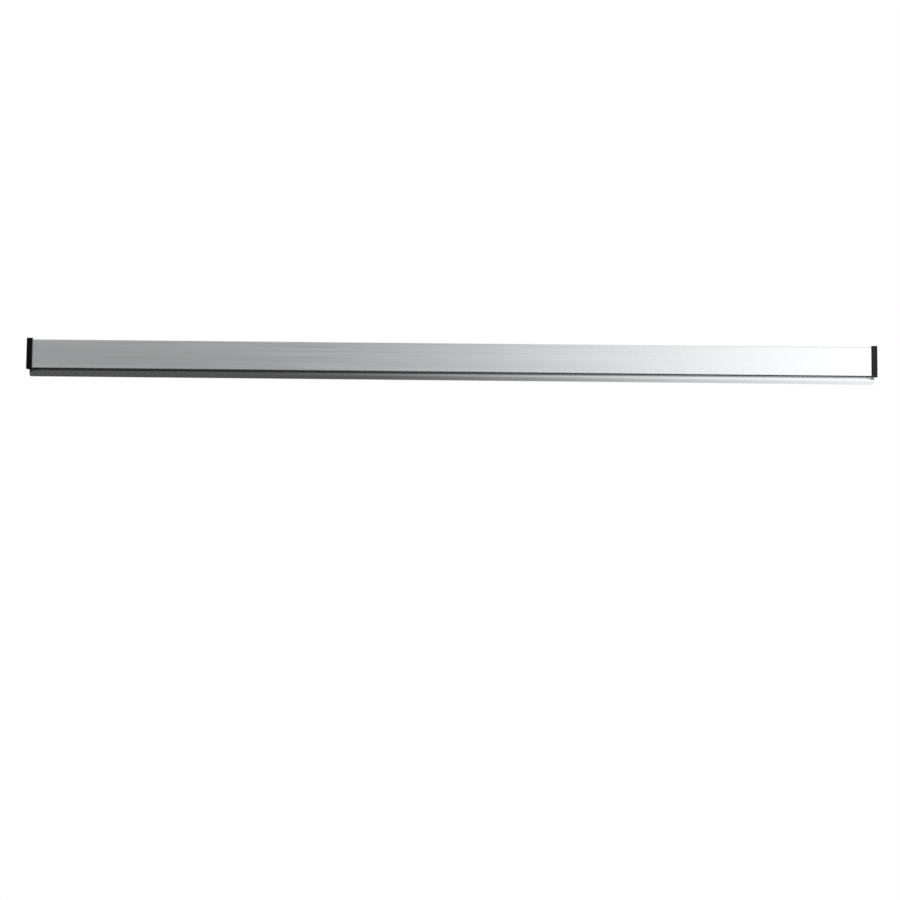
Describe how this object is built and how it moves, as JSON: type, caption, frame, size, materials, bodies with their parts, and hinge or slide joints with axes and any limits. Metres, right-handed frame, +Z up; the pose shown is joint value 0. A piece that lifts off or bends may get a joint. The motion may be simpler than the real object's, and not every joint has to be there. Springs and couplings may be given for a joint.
{
  "type": "order ticket rail",
  "caption": "Wall rail that holds sheets of paper by their top edge: loose rollers in an aluminium profile wedge against a sheet pushed up behind its front face.",
  "frame": {"origin": "middle of the middle wall clip's back, on the wall", "axes": "+X along the rail to the right as seen from the front, +Y into the wall, +Z up"},
  "size_m": [1.0046, 0.0202, 0.0438],
  "materials": {
    "anodised_aluminium": "brushed along its length and clear anodised",
    "black_plastic": "moulded black, fine matt grain",
    "roller_rubber": "matt black",
    "zinc_plated_steel": "zinc plated sheet"
  },
  "bodies": {
    "rail": {"rail_profile": "anodised_aluminium", "end_cap_left": "black_plastic", "end_cap_right": "black_plastic", "wall_clip_left": "zinc_plated_steel", "wall_clip_middle": "zinc_plated_steel", "wall_clip_right": "zinc_plated_steel"},
    "roller_01": {"roller_01": "roller_rubber"},
    "roller_02": {"roller_02": "roller_rubber"},
    "roller_03": {"roller_03": "roller_rubber"},
    "roller_04": {"roller_04": "roller_rubber"},
    "roller_05": {"roller_05": "roller_rubber"},
    "roller_06": {"roller_06": "roller_rubber"},
    "roller_07": {"roller_07": "roller_rubber"},
    "roller_08": {"roller_08": "roller_rubber"},
    "roller_09": {"roller_09": "roller_rubber"},
    "roller_10": {"roller_10": "roller_rubber"},
    "roller_11": {"roller_11": "roller_rubber"},
    "roller_12": {"roller_12": "roller_rubber"},
    "roller_13": {"roller_13": "roller_rubber"},
    "roller_14": {"roller_14": "roller_rubber"},
    "roller_15": {"roller_15": "roller_rubber"},
    "roller_16": {"roller_16": "roller_rubber"},
    "roller_17": {"roller_17": "roller_rubber"},
    "roller_18": {"roller_18": "roller_rubber"},
    "roller_19": {"roller_19": "roller_rubber"},
    "roller_20": {"roller_20": "roller_rubber"}
  },
  "joints": [
    {"name": "roller_01_slide", "type": "slide", "parent": "rail", "child": "roller_01", "axis": [0, -0.5, 0.866], "range_m": [0, 0.0044]},
    {"name": "roller_02_slide", "type": "slide", "parent": "rail", "child": "roller_02", "axis": [0, -0.5, 0.866], "range_m": [0, 0.0044]},
    {"name": "roller_03_slide", "type": "slide", "parent": "rail", "child": "roller_03", "axis": [0, -0.5, 0.866], "range_m": [0, 0.0044]},
    {"name": "roller_04_slide", "type": "slide", "parent": "rail", "child": "roller_04", "axis": [0, -0.5, 0.866], "range_m": [0, 0.0044]},
    {"name": "roller_05_slide", "type": "slide", "parent": "rail", "child": "roller_05", "axis": [0, -0.5, 0.866], "range_m": [0, 0.0044]},
    {"name": "roller_06_slide", "type": "slide", "parent": "rail", "child": "roller_06", "axis": [0, -0.5, 0.866], "range_m": [0, 0.0044]},
    {"name": "roller_07_slide", "type": "slide", "parent": "rail", "child": "roller_07", "axis": [0, -0.5, 0.866], "range_m": [0, 0.0044]},
    {"name": "roller_08_slide", "type": "slide", "parent": "rail", "child": "roller_08", "axis": [0, -0.5, 0.866], "range_m": [0, 0.0044]},
    {"name": "roller_09_slide", "type": "slide", "parent": "rail", "child": "roller_09", "axis": [0, -0.5, 0.866], "range_m": [0, 0.0044]},
    {"name": "roller_10_slide", "type": "slide", "parent": "rail", "child": "roller_10", "axis": [0, -0.5, 0.866], "range_m": [0, 0.0044]},
    {"name": "roller_11_slide", "type": "slide", "parent": "rail", "child": "roller_11", "axis": [0, -0.5, 0.866], "range_m": [0, 0.0044]},
    {"name": "roller_12_slide", "type": "slide", "parent": "rail", "child": "roller_12", "axis": [0, -0.5, 0.866], "range_m": [0, 0.0044]},
    {"name": "roller_13_slide", "type": "slide", "parent": "rail", "child": "roller_13", "axis": [0, -0.5, 0.866], "range_m": [0, 0.0044]},
    {"name": "roller_14_slide", "type": "slide", "parent": "rail", "child": "roller_14", "axis": [0, -0.5, 0.866], "range_m": [0, 0.0044]},
    {"name": "roller_15_slide", "type": "slide", "parent": "rail", "child": "roller_15", "axis": [0, -0.5, 0.866], "range_m": [0, 0.0044]},
    {"name": "roller_16_slide", "type": "slide", "parent": "rail", "child": "roller_16", "axis": [0, -0.5, 0.866], "range_m": [0, 0.0044]},
    {"name": "roller_17_slide", "type": "slide", "parent": "rail", "child": "roller_17", "axis": [0, -0.5, 0.866], "range_m": [0, 0.0044]},
    {"name": "roller_18_slide", "type": "slide", "parent": "rail", "child": "roller_18", "axis": [0, -0.5, 0.866], "range_m": [0, 0.0044]},
    {"name": "roller_19_slide", "type": "slide", "parent": "rail", "child": "roller_19", "axis": [0, -0.5, 0.866], "range_m": [0, 0.0044]},
    {"name": "roller_20_slide", "type": "slide", "parent": "rail", "child": "roller_20", "axis": [0, -0.5, 0.866], "range_m": [0, 0.0044]}
  ]
}
